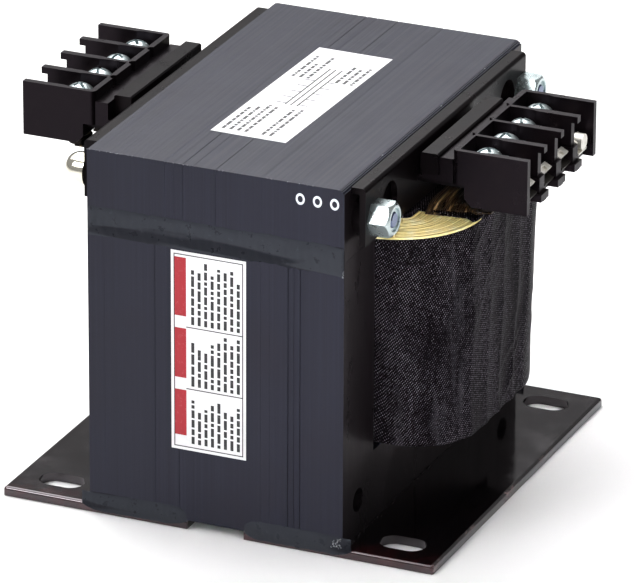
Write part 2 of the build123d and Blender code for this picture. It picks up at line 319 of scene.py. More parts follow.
def bolt_finish():
    """Nickel, with the threaded ends at +X turned bluish."""
    f = plated_finish("nickel", (0.80, 0.77, 0.68), (0.62, 0.57, 0.46), (0.40, 0.36, 0.27), 0.14)
    return f.tint(f.ramp(f.axis("X"), 0, 1 * MM), (0.17, 0.20, 0.30)).material


def terminal_finish():
    """Tinned brass, with the tails below the block dark."""
    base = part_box("terminal_block_right")[0].z
    f = plated_finish("tinned_brass", (0.70, 0.67, 0.58), (0.52, 0.48, 0.38), (0.24, 0.19, 0.13), 0.32)
    return f.tint(f.ramp(f.axis("Z"), base + 0.4 * MM, base), (0.020, 0.017, 0.016)).material


def clip_finish():
    """Bright tin, with the lower lips of the three plain clips darkened as painted shade."""
    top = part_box("clips_right")[1].z
    f = plated_finish("clip_tin", (0.88, 0.86, 0.81), (0.74, 0.71, 0.64), (0.46, 0.40, 0.32), 0.46)
    # Painted shade: the lower lips of the three plain clips are darkened.
    low = f.combine("MULTIPLY", f.ramp(f.axis("Z"), top - 3.2 * MM, top - 3.4 * MM),
                    f.ramp(f.axis("Y"), 13 * MM, 12 * MM))
    return f.tint(low, (0.060, 0.055, 0.050)).material


def tape_finish(name, flat):
    """Varnished twill tape with painted glints and sheen on its weave; flat says whether the piece has its
    own unrolled coordinates in metres.
    """
    f = Finish(name, (0.0060, 0.0046, 0.0060), Roughness=0.5, Specular_IOR_Level=0.035,
               Specular_Tint=(1.0, 0.84, 1.0, 1))
    source = f.flat if flat else f.position
    twill = f.wave(430, f.place((1, 1, 1), (0, 0, 52), source), 1.5)
    yarn = f.wave(460, f.place((1, 1, 1), (0, 0, -24), source), 1.5)
    weave = f.combine("MULTIPLY", twill, yarn)
    grain = f.noise(1500, 3, 0.75, source)
    fleck = f.noise(720, 2, 0.7, source)
    # worn marks the patches that carry the painted sheen and glints; it also sets the roughness.
    worn = f.noise(60, 5, 0.7, f.place((1, 0.45, 1), (0, 0, -35), source))
    patch = f.noise(28, 4, 0.6, f.place((1, 0.5, 1), (0, 0, -25), source))
    smear = f.noise(46, 4, 0.62, f.place((1, 0.16, 1), (0, 0, 6), source))
    painted_glint = f.combine("MULTIPLY", f.combine("MULTIPLY", weave, grain), f.combine("MULTIPLY", worn, fleck))
    # Lighter weave in those patches: partly the weave's own colour, partly painted sheen.
    f.tint(f.combine("MULTIPLY", f.ramp(weave, 0.40, 0.9, 0, 0.6), f.ramp(worn, 0.44, 0.64)),
           (0.0178, 0.0142, 0.0185))
    # Painted glints: bright flecks on the weave.
    f.tint(f.ramp(painted_glint, 0.066, 0.136, 0, 0.9), (0.31, 0.285, 0.33))
    f.tint(f.ramp(patch, 0.58, 0.72, 0, 0.5), (0.0150, 0.0135, 0.0170))
    f.tint(f.combine("MULTIPLY", f.ramp(smear, 0.58, 0.66, 0, 0.8), f.ramp(grain, 0.35, 0.60)),
           (0.095, 0.092, 0.105))
    f.rough(worn, 0.35, 0.7, 0.34, 0.62)
    f.bump(weave, 0.00010, 0.8)
    f.bump(f.noise(170, 4, 0.6, source), 0.0006, 0.45)
    return f.material


def paper_finish():
    """Yellow insulating paper with fibres and varnish stains."""
    f = Finish("yellow_paper", (0.99, 0.83, 0.40), Roughness=0.6)
    fibre = f.noise(260, 5, 0.6, f.place((1, 1, 0.25)))
    stain = f.noise(70, 4, 0.6)
    f.tint(f.ramp(fibre, 0.48, 0.70, 0, 0.8), (0.99, 0.93, 0.68))
    f.tint(f.ramp(stain, 0.56, 0.76, 0, 0.45), (0.86, 0.63, 0.25))
    # The paper is darkened to near black at the +X +Y and -X -Y corners, and at its ends beside the pads.
    near_black = (0.012, 0.010, 0.010)
    corner = f.combine("MULTIPLY", f.axis("X"), f.axis("Y"))
    rim = f.ramp(f.combine("ABSOLUTE", f.axis("X")), 56.5 * MM, 58 * MM)
    f.tint(f.ramp(corner, 0.0003, 0.0007), near_black)
    f.tint(f.combine("MULTIPLY", rim, f.ramp(corner, -0.00094, -0.00088)), near_black)
    f.rough(fibre, 0.3, 0.7, 0.42, 0.7)
    f.bump(fibre, 0.00006, 0.4)
    return f.material


def enamel_finish():
    """Varnished strands, mostly dark brown with a lighter amber one here and there."""
    f = Finish("lead_varnish", (0.022, 0.013, 0.008), Roughness=0.3)
    strand_tone = f.noise(620, 3, 0.7, f.place((1, 0.05, 0.6)))
    f.tint(f.ramp(strand_tone, 0.50, 0.60, 0, 0.9), (0.085, 0.047, 0.020))
    f.tint(f.ramp(strand_tone, 0.58, 0.66, 0, 0.9), (0.34, 0.235, 0.12))
    f.rough(strand_tone, 0.3, 0.7, 0.22, 0.5)
    f.bump(f.noise(900, 3), 0.00005, 0.4)
    return f.material


def sticker_finish():
    """White printed film, slightly fibrous and yellowed."""
    f = Finish("sticker_white", (0.70, 0.70, 0.71), Roughness=0.35)
    fibre = f.noise(800, 4, 0.6)
    f.tint(f.ramp(fibre, 0.5, 0.75, 0, 0.5), (0.60, 0.61, 0.62))
    f.tint(f.ramp(f.noise(50, 3), 0.55, 0.8, 0, 0.4), (0.55, 0.54, 0.52))
    f.rough(fibre, 0.3, 0.7, 0.28, 0.45)
    f.bump(fibre, 0.00002, 0.4)
    return f.material


def ink_finish(name, colour, worn):
    """Printing ink, thin in places."""
    f = Finish(name, colour, Roughness=0.4)
    wear = f.noise(1100, 4, 0.65)
    f.tint(f.ramp(wear, 0.56, 0.74, 0, 0.55), worn)
    f.rough(wear, 0.3, 0.7, 0.3, 0.5)
    return f.material


def bare_weld_finish():
    """Bright metal where the varnish has come off a weld or an edge."""
    f = Finish("bare_weld", (0.50, 0.51, 0.53), Metallic=1.0, Roughness=0.35)
    cloud = f.noise(900, 4, 0.7)
    f.tint(f.ramp(cloud, 0.45, 0.62, 0, 0.9), (0.10, 0.10, 0.12))
    f.rough(cloud, 0.3, 0.7, 0.2, 0.55)
    f.bump(cloud, 0.0002, 0.6)
    return f.material


CORE, WELD, SIDE, PLASTIC = core_finish(), weld_finish(), side_finish(), plastic_finish()
PAINT = paint_finish("foot_paint", 0.9, 0.11, 0.35, 0.9)
BRACKET = paint_finish("bracket_paint", 0.15, 0.30, 0.0, 0.0)
ZINC = plated_finish("zinc", (0.62, 0.70, 0.71), (0.42, 0.50, 0.53), (0.62, 0.61, 0.55), 0.28).material
SCREW = plated_finish("screw_zinc", (0.55, 0.61, 0.62), (0.32, 0.38, 0.40), (0.60, 0.60, 0.56), 0.34).material
NICKEL, TIN, CLIP = bolt_finish(), terminal_finish(), clip_finish()
PAPER = paper_finish()
TAPE, PAD_TAPE = tape_finish("glass_tape", True), tape_finish("pad_tape", False)
ENAMEL, STICKER, BARE = enamel_finish(), sticker_finish(), bare_weld_finish()
RED = ink_finish("red_ink", (0.33, 0.021, 0.031), (0.42, 0.11, 0.12))
BLACK = ink_finish("black_ink", (0.025, 0.025, 0.028), (0.16, 0.16, 0.16))
WHITE_INK = ink_finish("white_ink", (0.72, 0.75, 0.80), (0.20, 0.21, 0.26))

NODE_FINISH = (
    ("foot_", PAINT), ("bracket_", BRACKET), ("block_rail", BRACKET), ("terminal_block", PLASTIC),
    ("through_bolt", NICKEL), ("bolt_", ZINC), ("screw_", SCREW), ("clamp_", SCREW),
    ("terminals_", TIN), ("clips_", CLIP), ("coil_tube", PAD_TAPE), ("primary_winding", ENAMEL),
    ("secondary_winding", ENAMEL), ("paper_wrap", PAPER), ("end_paper", PAPER),
    ("lead_pad", PAD_TAPE), ("lead_", ENAMEL), ("core_", CORE), ("weld_", WELD), ("tape_wrap", TAPE),
    ("label_", STICKER),
)
for node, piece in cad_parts.items():
    finish = next(m for prefix, m in NODE_FINISH if node.startswith(prefix))
    piece.data.materials.clear()
    piece.data.materials.append(finish)

BEVELLED = (("terminal_block", 0.22), ("block_rail", 0.3), ("bracket_right", 0.25), ("bracket_left", 0.25),
            ("foot_", 0.25), ("clips_", 0.12), ("clamp_", 0.15))
for node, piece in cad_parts.items():
    for prefix, width in BEVELLED:
        if node.startswith(prefix):
            bevel = piece.modifiers.new("edge", "BEVEL")
            bevel.width, bevel.segments = width * MM, 2
            bevel.limit_method, bevel.angle_limit = "ANGLE", math.radians(38)
            bevel.harden_normals = True


# Laminated core --------------------------------------------------------------------------------------
SHEET = 0.47 * MM
HOLE_STEPS = 40
# Grooves where a sheet sits back from its neighbours: its place along X, and how far in millimetres.
E_GAPS = {22.9 * MM: 0.24, 24.7 * MM: 0.12, 26.6 * MM: 0.24, 14.5 * MM: 0.06, 17.6 * MM: 0.05,
          -11.5 * MM: 0.10, -18.7 * MM: 0.10, -24.6 * MM: 0.05, -34.9 * MM: 0.06}
I_GAPS = {0.7 * MM: 0.09, -6.8 * MM: 0.05, -9.9 * MM: 0.09, -12.5 * MM: 0.06, -15.5 * MM: 0.06,
          15.0 * MM: 0.04}


def sheet_drop(x, round_top):
    """How far a sheet's top edge lies below the stack's: rounded at +X, a short slope at -X."""
    edge, slope = HX - x, 0.8 * MM
    if x + HX < slope:
        return 0.25 * MM * (1 - (x + HX) / slope)
    return round_top - math.sqrt(round_top ** 2 - (round_top - edge) ** 2) if edge < round_top else 0.0


def inward_at_corners(outline):
    """The direction into the sheet at each corner of its outline."""
    directions = []
    for i, p in enumerate(outline):
        before, after = Vector(outline[i - 1]), Vector(outline[(i + 1) % len(outline)])
        a, b = (Vector(p) - before).normalized(), (after - Vector(p)).normalized()
        directions.append(Vector((-a.y - b.y, a.x + b.x)))
    return directions


def laminated(name, outline, holes, round_top, gaps):
    """A stack of sheets along X: one outline in Y and Z, each sheet set back and shifted a little."""
    n = len(outline)
    inward = inward_at_corners(outline)
    top = max(z for _, z in outline)
    count = round(2 * HX / SHEET)
    bm = bmesh.new()
    points = []
    for sheet in range(count):
        x0, x1 = (-HX + 2 * HX * (sheet + k) / count for k in (0, 1))
        middle = (x0 + x1) / 2
        gap = max((depth for at, depth in gaps.items() if abs(at - middle) < 0.5 * SHEET), default=0)
        back = (0.03 + 0.022 * random.random() + gap) * MM
        slip = Vector((random.uniform(-1, 1), random.uniform(-1, 1))) * 0.012 * MM
        fall = sheet_drop(middle, round_top) if round_top else 0.0
        for x in (x0, x1):
            for (y, z), d in zip(outline, inward):
                drop = fall if z == top else 0
                points.append(bm.verts.new((x, y + back * d.x + slip.x, z + back * d.y + slip.y - drop)))
    for face in grid_faces(2 * count, n, wrap=True):
        bm.faces.new([points[i] for i in face])
    rims = []
    for ring in (points[:n], points[-n:]):
        rims.append((ring[0].co.x, [bm.edges.get((ring[i], ring[(i + 1) % n])) for i in range(n)]))
    walls = []
    for y, z, r in holes:
        rings = []
        for x, edges in rims:
            ring = [bm.verts.new((x, y + r * math.cos(a), z + r * math.sin(a)))
                    for a in (2 * math.pi * i / HOLE_STEPS for i in range(HOLE_STEPS))]
            edges.extend(bm.edges.new(pair) for pair in zip(ring, ring[1:] + ring[:1]))
            rings.append(ring)
        walls.append(rings)
    for _, edges in rims:
        for face in bmesh.ops.triangle_fill(bm, edges=edges, use_beauty=True)["geom"]:
            if isinstance(face, bmesh.types.BMFace):
                face.material_index = 1
    # The hole walls take the dark side varnish: painted shade inside the holes.
    for first, last in walls:
        for a, b, c, d in zip(first, first[1:] + first[:1], last[1:] + last[:1], last):
            bm.faces.new((a, b, c, d)).material_index = 1
    piece = bmesh_piece(name, bm, CORE)
    piece.data.materials.append(SIDE)
    return piece


HOLE_R, HOLE_Y = 3.6 * MM, HY - YOKE / 2
LEG, WINDOW = TONGUE / 2, TONGUE
e_outline = [(-HY, FOOT_T), (HY, FOOT_T), (HY, LEG_TOP), (WINDOW, LEG_TOP), (WINDOW, FOOT_T + YOKE),
             (LEG, FOOT_T + YOKE), (LEG, LEG_TOP), (-LEG, LEG_TOP), (-LEG, FOOT_T + YOKE),
             (-WINDOW, FOOT_T + YOKE), (-WINDOW, LEG_TOP), (-HY, LEG_TOP)]
i_outline = [(-HY, LEG_TOP), (HY, LEG_TOP), (HY, CORE_TOP), (-HY, CORE_TOP)]
low_holes = [(side * HOLE_Y, FOOT_T + YOKE / 2, HOLE_R) for side in (-1, 1)]
top_holes = [(side * HOLE_Y, CORE_TOP - YOKE / 2, HOLE_R) for side in (-1, 1)]
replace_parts(laminated("e_laminations", e_outline, low_holes, 0, E_GAPS), "core_e_stack")
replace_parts(laminated("i_laminations", i_outline, top_holes, 2.0 * MM, I_GAPS), "core_i_stack")


# Weld beads ------------------------------------------------------------------------------------------
def weld_bead(name, x0, x1, z, width, rise, side, ripple, fade, blunt, seed):
    """A rippled bead on the front (side -1) or back (side 1) of the core, closed at the back.

    It narrows over the length fade at each end, down to the share blunt of its width.
    """
    across = 14
    along = max(12, round((x1 - x0) / (0.28 * MM)))
    verts = []
    for i in range(along + 1):
        x = x0 + (x1 - x0) * i / along
        end = min(1.0, min(x - x0, x1 - x) / fade)
        end = math.sqrt(max(0.0, 1 - (1 - end) ** 2))
        centre = z + 0.04 * width * noise.noise(Vector((x * 90, seed, 3)))
        half = width / 2 * (blunt + (1 - blunt) * end)
        for j in range(across + 1):
            s = 2 * j / across - 1
            crest = (1 - s * s) ** 0.75 * end
            scallop = 1 + 0.10 * math.sin(2 * math.pi * (x / ripple - 0.45 * s * s)) * (1 - abs(s)) ** 0.5
            lump = 0.80 + 0.45 * noise.noise(Vector((x * 260, s * 1.4, seed)))
            depth = min(rise, rise * 0.74 * crest * scallop * lump)
            reach = half * (0.93 + 0.08 * noise.noise(Vector((x * 500, s, seed + 9))))
            verts.append((x, side * (HY + depth - 0.03 * MM), centre + s * reach))
        for s in (1, -1):
            verts.append((x, side * (HY - 0.3 * MM), centre + s * width / 2 * 0.8))
    per = across + 3
    bm = bmesh.new()
    points = [bm.verts.new(v) for v in verts]
    for face in grid_faces(along + 1, per, wrap=True) + [range(per), range(along * per, (along + 1) * per)]:
        bm.faces.new([points[i] for i in face])
    return bmesh_piece(name, bm, WELD, smooth_angle=50)


YOKE_WELD, FOOT_WELD, FOOT_WELD_Z = 9.6 * MM, 6.6 * MM, 3.6 * MM
FOOT_WELD_IN, FOOT_WELD_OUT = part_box("weld_foot_right")[0].x, HX + 2.6 * MM
for side, word in ((-1, "front"), (1, "back")):
    bead = weld_bead(f"yoke_bead_{word}", -HX, HX, LEG_TOP + 0.5 * MM, YOKE_WELD, 0.7 * MM, side,
                     2.6 * MM, 0.8 * MM, 0.9, side + 4.0)
    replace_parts(bead, f"weld_yoke_{word}")
for end, end_word in ((-1, "left"), (1, "right")):
    x0, x1 = sorted((end * FOOT_WELD_IN, end * FOOT_WELD_OUT))
    beads = [weld_bead(f"foot_bead_{end_word}_{word}", x0, x1, FOOT_WELD_Z, FOOT_WELD, 0.65 * MM, side,
                       1.9 * MM, 6 * MM, 0.2, end * 3 + side * 1.5)
             for side, word in ((-1, "front"), (1, "back"))]
    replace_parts(beads[0], f"weld_foot_{end_word}")


def spatter(name, spots, material):
    """Small weld balls, each at a position and with a radius."""
    bm = bmesh.new()
    for at, r in spots:
        ball = bmesh.ops.create_icosphere(bm, subdivisions=2, radius=r, matrix=Matrix.Translation(at))
        for v in ball["verts"]:
            d = (v.co - at).normalized()
            v.co = at + d * r * (1 + 0.25 * noise.noise(v.co * 2500))
    return bmesh_piece(name, bm, material, smooth_angle=60)


def foot_spots(end):
    """Spots along the corner between the core's side and a foot, thicker towards the front."""
    spots = []
    for _ in range(46):
        y = -HY * 0.95 + 1.6 * HY * random.random() ** 1.6
        at = Vector((end * (HX + abs(random.gauss(0, 0.5)) * MM), y, FOOT_T))
        spots.append((at, random.uniform(0.12, 0.34) * MM))
    return spots


def bare_spots(count, inset, proud, z, above, size):
    """Spots at the right end of a front bead; each argument but count and z is a range in millimetres."""
    return [(Vector((HX - random.uniform(*inset) * MM, -HY - random.uniform(*proud) * MM,
                     z + random.uniform(*above) * MM)), random.uniform(*size) * MM)
            for _ in range(count)]


def edge_spots():
    """Chips along the front top edge, most near the left, and a few on the right top edge."""
    rng = random.Random(5)
    chips = []
    while len(chips) < 90:
        x = rng.uniform(-HX, HX)
        if rng.random() < 0.25 + 0.75 * (x < -0.6 * HX):
            at = Vector((x, -HY + rng.uniform(0.05, 0.2) * MM, CORE_TOP - rng.uniform(0.04, 0.16) * MM))
            chips.append((at, rng.uniform(0.05, 0.12) * MM))
    for share in (-0.9, -0.55, 0.1, 0.62):
        at = Vector((HX - rng.uniform(0.8, 2.6) * MM, share * HY + rng.uniform(-1, 1) * MM,
                     CORE_TOP - 0.35 * MM))
        chips.append((at, rng.uniform(0.2, 0.32) * MM))
    return chips


spatter("spatter_left", foot_spots(-1), PAINT)
spatter("spatter_right", foot_spots(1), PAINT)
spatter("bare_spatter_foot", bare_spots(30, (0.2, 3.4), (0.1, 0.35), FOOT_T, (0.1, 3.2), (0.12, 0.30)), BARE)
spatter("bare_spatter_yoke", bare_spots(9, (0, 0.5), (0, 0.3), LEG_TOP, (-1.5, -4.4), (0.12, 0.24)), BARE)
spatter("edge_chips", edge_spots(), BARE)


# Coil ------------------------------------------------------------------------------------------------
def extent(node):
    """Ends at -X and +X, half width, bottom and top of a coil node."""
    lo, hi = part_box(node)
    return lo.x, hi.x, hi.y, lo.z, hi.z


def band_ring(name, low, high, inner, z0, z1, rows, bulge, material, arc_steps=30, run_steps=60):
    """A closed wall round the coil, between an outer outline at the bottom, one at the top, and an inner one.

    bulge(distance round, height) is how far the outer face is set in. The UV map is the unrolled wall.
    """
    low, high, inner = (coil_outline(*shape, arc_steps, run_steps) for shape in (low, high, inner))
    n = len(low)
    around = [0.0]
    for (p, _), (q, _) in zip(high, high[1:]):
        around.append(around[-1] + (q - p).length)
    verts = []
    for i in range(rows + 1):
        share = i / rows
        for (p, normal), (q, _), s in zip(low, high, around):
            at = p.lerp(q, share) - normal * bulge(s, (z1 - z0) * share)
            verts.append((at.x, at.y, z0 + (z1 - z0) * share))
    for i in range(rows, -1, -1):
        verts += [(p.x, p.y, z0 + (z1 - z0) * i / rows) for p, _ in inner]
    faces = grid_faces(2 * (rows + 1), n, wrap=True)
    last = (2 * rows + 1) * n
    faces += [(last + c, last + (c + 1) % n, (c + 1) % n, c) for c in range(n)]
    piece = mesh_piece(name, verts, faces, material, smooth=True)
    unrolled = piece.data.uv_layers.new(name="unrolled").data
    turn = around[-1] + (high[0][0] - high[-1][0]).length
    for face in piece.data.polygons:
        columns = [v % n for v in face.vertices]
        wraps = max(columns) - min(columns) > n / 2
        for loop, v, c in zip(face.loop_indices, face.vertices, columns):
            unrolled[loop].uv = (around[c] + (turn if wraps and c < n / 2 else 0), verts[v][2])
    return piece


tape_x0, tape_x1, tape_y, tape_z0, tape_z1 = extent("tape_wrap")
wrap_x0, wrap_x1, wrap_y, wrap_z0, wrap_z1 = extent("paper_wrap")
WRAP_R = 26 * MM
# Outlines of the tape at its bottom and top: both ends, half width and the three corner radii.
TAPE_LOW = (tape_x0, tape_x1, tape_y, 20 * MM, 32 * MM, 26.5 * MM)
TAPE_HIGH = (tape_x0 + 0.1 * MM, tape_x1 - 2.5 * MM, tape_y - 0.3 * MM, 27 * MM, 19 * MM, 26.5 * MM)
HIGH_RADII = TAPE_HIGH[3] + TAPE_HIGH[4] + 2 * TAPE_HIGH[5]
TURN = 2 * (TAPE_HIGH[1] - TAPE_HIGH[0]) + 4 * TAPE_HIGH[2] - (2 - math.pi / 2) * HIGH_RADII
CREASES = [at * MM for at in (0, 9, 21, 32, 44.7, 58, 74)]


def facet(s, z):
    """1 midway between two vertical creases and 0 on them; they are the same at both coil ends."""
    back = (TURN - s + 0.002 * noise.noise(Vector((0, z * 45, 2.0)))) % (TURN / 2)
    for near, far in zip(CREASES, CREASES[1:]):
        if near <= back < far:
            return 1 - ((2 * back - near - far) / (far - near)) ** 2
    return 0.0


def tape_surface(s, z):
    """How far the wrap sits inside its CAD outline, at most 1.2 mm.

    It has slanting folds and fine creases, slack between them, and a rolled, ragged top and bottom edge.
    """
    slant = math.radians(40)
    along = s * math.cos(slant) + z * math.sin(slant) + 0.004 * noise.noise(Vector((s * 40, z * 40, 9.0)))
    across = z * math.cos(slant) - s * math.sin(slant) + 0.005 * noise.noise(Vector((s * 40, z * 40, 5.0)))
    where = max(0.0, 0.35 + 1.6 * noise.noise(Vector((s * 26, z * 26, 12.0))))
    fold = noise.noise(Vector((across * 80, along * 36, 1.0)))
    ridge = (1 - abs(noise.noise(Vector((across * 120, along * 46, 7.0))))) ** 6
    crease = (1 - abs(noise.noise(Vector((across * 260, along * 110, 4.0))))) ** 8
    slack = noise.noise(Vector((s * 34, z * 20, 2.0)))
    edge = min(z, tape_z1 - tape_z0 - z)
    ragged = 1.6 * MM * (1 + 0.5 * noise.noise(Vector((s * 260, 0, 5))))
    roll = 0.16 * MM * max(0.0, 1 - edge / ragged) ** 2
    seam = min(1.0, min(s, TURN - s) / (7 * MM))
    relief = 0.28 * fold + where * (0.44 * ridge + 0.18 * crease - 0.18) + 0.36 * slack
    return min(1.0, max(0.0, 0.24 + 0.46 * facet(s, z) - seam * relief)) * MM + roll


bore = (wrap_x0 - 0.05 * MM, wrap_x1 + 0.05 * MM, wrap_y + 0.05 * MM, WRAP_R, WRAP_R, WRAP_R)
tape = band_ring("tape_winding", TAPE_LOW, TAPE_HIGH, bore, tape_z0, tape_z1, 110, tape_surface, TAPE, 48)
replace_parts(tape, "tape_wrap")

COLLAR_T = 0.9 * MM
collar = (wrap_x0, wrap_x1, wrap_y, WRAP_R, WRAP_R, WRAP_R)
lining = (wrap_x0 + COLLAR_T, wrap_x1 - COLLAR_T, wrap_y - COLLAR_T) + (WRAP_R - COLLAR_T,) * 3
wrapper = band_ring("paper_collar", collar, collar, lining, wrap_z0 + 1.2 * MM, wrap_z1, 6,
                    lambda s, z: 0.1 * MM * (1 + noise.noise(Vector((s * 90, z * 90, 3)))), PAPER)
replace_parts(wrapper, "paper_wrap")


def paper_layers():
    """Edges of the paper between the winding layers, seen on the coil's top and bottom faces."""
    tube_x0, tube_x1, tube_y = extent("coil_tube")[:3]
    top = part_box("end_paper_top")[0].z
    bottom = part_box("end_paper_bottom")[1].z
    layers, tube_r = 22, 2 * MM
    step = (tube_x0 - wrap_x0) / (layers - 1)
    # Each layer is a closed ring: outer foot, outer lip, inner lip and inner foot, as shares of a step.
    section = ((0.0, False), (0.04, True), (0.62, True), (0.62, False))
    for word, inner, outer, finish in (("top", top - 0.6 * MM, wrap_z1, PAPER),
                                       ("bottom", bottom + 0.6 * MM, wrap_z0, PAD_TAPE)):
        verts, faces = [], []
        for k in range(layers):
            share = k / (layers - 1)
            x0, x1 = tube_x0 + (wrap_x0 - tube_x0) * share, tube_x1 + (wrap_x1 - tube_x1) * share
            r = tube_r + (WRAP_R - tube_r) * share
            ring = coil_outline(x0, x1, tube_y + (wrap_y - tube_y) * share, r, r, r, 14, 8)
            base, n, seed = len(verts), len(ring), k * 1.7
            for inset, is_lip in section:
                for p, normal in ring:
                    q = p - normal * step * inset
                    wave = 0.18 * noise.noise(Vector((p.x * 60, p.y * 60, seed)))
                    lift = 0.45 + 0.5 * wave + 0.08 * math.sin(seed * 5)
                    height = min(1.0, max(0.2, 0.55 + lift * 0.6)) if is_lip else 0
                    verts.append((q.x, q.y, inner + (outer - inner) * height))
            faces += [tuple(base + i for i in f) for f in grid_faces(4, n, wrap=True)]
            faces += [(base + 3 * n + c, base + 3 * n + (c + 1) % n, base + (c + 1) % n, base + c)
                      for c in range(n)]
        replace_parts(mesh_piece(f"paper_edges_{word}", verts, faces, finish), f"end_paper_{word}")


paper_layers()


# Leads: eleven enamelled strands side by side along each CAD lead ---------------------------------------
STRANDS = 11


def strand_mesh(points, radius):
    """One strand as a mesh tube with closed ends, smooth along its points."""
    curve = bpy.data.curves.new("strand", "CURVE")
    curve.dimensions = "3D"
    curve.bevel_depth, curve.bevel_resolution = radius, 3
    curve.use_fill_caps = True
    spline = curve.splines.new("NURBS")
    spline.points.add(len(points) - 1)
    for target, p in zip(spline.points, points):
        target.co = (*p, 1)
    spline.order_u, spline.use_endpoint_u = 3, True
    spline.resolution_u = 10
    holder = bpy.data.objects.new("strand", curve)
    tube = bpy.data.meshes.new_from_object(holder)
    bpy.data.objects.remove(holder)
    bpy.data.curves.remove(curve)
    return tube


def lead(end, k):
    """Strands side by side: up from the paper, along the pad and out to the eyelet."""
    word = "right" if end > 0 else "left"
    lo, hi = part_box(f"lead_{word}_{k}")
    screw_lo, screw_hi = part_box(f"screw_{word}_{k}")
    wire = 1.1 * MM
    x0, y0 = (lo.x + wire, lo.y + wire) if end > 0 else (hi.x - wire, hi.y - wire)
    x1, y1 = (screw_lo.x + screw_hi.x) / 2 + end * 1.6 * MM, (screw_lo.y + screw_hi.y) / 2
    run = y1 - y0
    bm = bmesh.new()
    rng = random.Random(20 + k)
    for i in range(STRANDS):
        offset = (i - STRANDS // 2) * 0.35 * MM
        x = x0 + offset + rng.uniform(-0.06, 0.06) * MM
        low, high = lo.z - 0.3 * MM, lo.z + (1.9 + rng.uniform(0, 0.7)) * MM
        outward = abs(x) - HX
        start = end * (rng.uniform(-19.15, -18.85) * MM + 0.14 * outward)
        points = [Vector((x, start, low)), Vector((x, start + end * 1.2 * MM, low + 1.2 * MM)),
                  Vector((x, start + end * 5.0 * MM, high))]
        if run * end > 9 * MM:
            for share in (0.4, 0.6, 0.8):
                wobble = Vector((rng.uniform(-0.3, 0.3), 0, rng.uniform(-0.1, 0.4))) * MM
                points.append(Vector((x, y0 + run * share, high + 0.4 * MM)) + wobble)
        bend = x0 + (x1 - x0) * 0.35 + (x - x0) * 0.7
        points += [Vector((bend, y1 - end * 0.6 * MM, high + 0.9 * MM)),
                   Vector((x0 + (x1 - x0) * 0.7, y1 + offset * 0.4, high + 1.5 * MM)),
                   Vector((x1, y1 + offset * 0.4, lo.z + 4.0 * MM))]
        tube = strand_mesh(points, rng.uniform(0.22, 0.30) * MM)
        bm.from_mesh(tube)
        bpy.data.meshes.remove(tube)
    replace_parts(bmesh_piece(f"strands_{word}_{k}", bm, ENAMEL, smooth_angle=60), f"lead_{word}_{k}")


def lead_pad(word):
    """The taped pad the leads lie on: a crumpled top over a flat base, with rounded outer corners."""
    lo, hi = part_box(f"lead_pad_{word}")
    outer = 1 if word == "right" else -1
    nx, ny = 36, 110
    front_r, back_r = (2.5 * MM, 13 * MM)[::outer]
    paper_edge, core_gap = 58.5 * MM, 0.4 * MM
    verts = []
    for is_top in (False, True):
        for j in range(ny + 1):
            y = lo.y + (hi.y - lo.y) * j / ny
            near = max(0.0, 1 - 8 * (j if outer > 0 else ny - j) / ny)
            r = front_r if y < (lo.y + hi.y) / 2 else back_r
            inset = max(0.0, r - min(y - lo.y, hi.y - y))
            cut = r - math.sqrt(r * r - inset * inset)
            x_lo, x_hi = (HX + core_gap, hi.x - cut) if outer > 0 else (lo.x + cut, -HX - core_gap)
            for i in range(nx + 1):
                x = x_lo + (x_hi - x_lo) * i / nx
                beyond = min(1.0, max(0.0, (abs(x) - paper_edge) / (1.5 * MM)))
                reach = beyond * near * (2.0 + 1.2 * noise.noise(Vector((x * 240, 0, 8)))) * MM * outer
                soft = min(1.0, min(i, nx - i) / nx * 6, min(j, ny - j) / ny * 14) ** 0.5
                lump = 0.5 + 0.5 * noise.noise(Vector((x * 330, y * 150, 6.0)))
                height = 0.35 + 0.65 * soft * (0.55 + 0.45 * lump) if is_top else 0
                verts.append((x, y - reach, lo.z + (hi.z - lo.z) * height))
    n = nx + 1
    base = n * (ny + 1)
    faces = []
    for q in grid_faces(ny + 1, n):
        faces += [tuple(reversed(q)), tuple(base + v for v in q)]
    ring = list(range(n)) + [j * n + nx for j in range(1, ny + 1)]
    ring += [ny * n + i for i in range(nx - 1, -1, -1)] + [j * n for j in range(ny - 1, 0, -1)]
    faces += [(a, b, base + b, base + a) for a, b in zip(ring, ring[1:] + ring[:1])]
    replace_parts(mesh_piece(f"taped_pad_{word}", verts, faces, PAD_TAPE, smooth=True), f"lead_pad_{word}")


for end, word in ((-1, "left"), (1, "right")):
    lead_pad(word)
    for k in range(1, 5):
        lead(end, k)


# Stickers: blank cells, rules and short bars, with no lettering ------------------------------------------
FILM, INK = 0.085 * MM, 0.115 * MM      # heights above the metal


def sticker_piece(name, quads, material, place, low=FILM, high=INK):
    """Thin raised boxes in the sticker's own plane, each given as (u0, u1, v0, v1)."""
    bm = bmesh.new()
    for u0, u1, v0, v1 in quads:
        corners = [bm.verts.new(place(u, v, w)) for w in (low, high) for u, v in
                   ((u0, v0), (u1, v0), (u1, v1), (u0, v1))]
        for f in ((0, 1, 2, 3), (4, 5, 6, 7), (0, 1, 5, 4), (1, 2, 6, 5), (2, 3, 7, 6), (3, 0, 4, 7)):
            bm.faces.new([corners[i] for i in f])
    return bmesh_piece(name, bm, material)


def word_bars(u0, u1, v, rng):
    """A row of short bars, like words too small to read."""
    bars, u = [], u0
    while u < u1 - 0.8 * MM:
        length = rng.uniform(0.9, 3.4) * MM
        bars.append((u, min(u + length, u1), v, v + 0.95 * MM))
        u += length + 0.55 * MM
    return bars


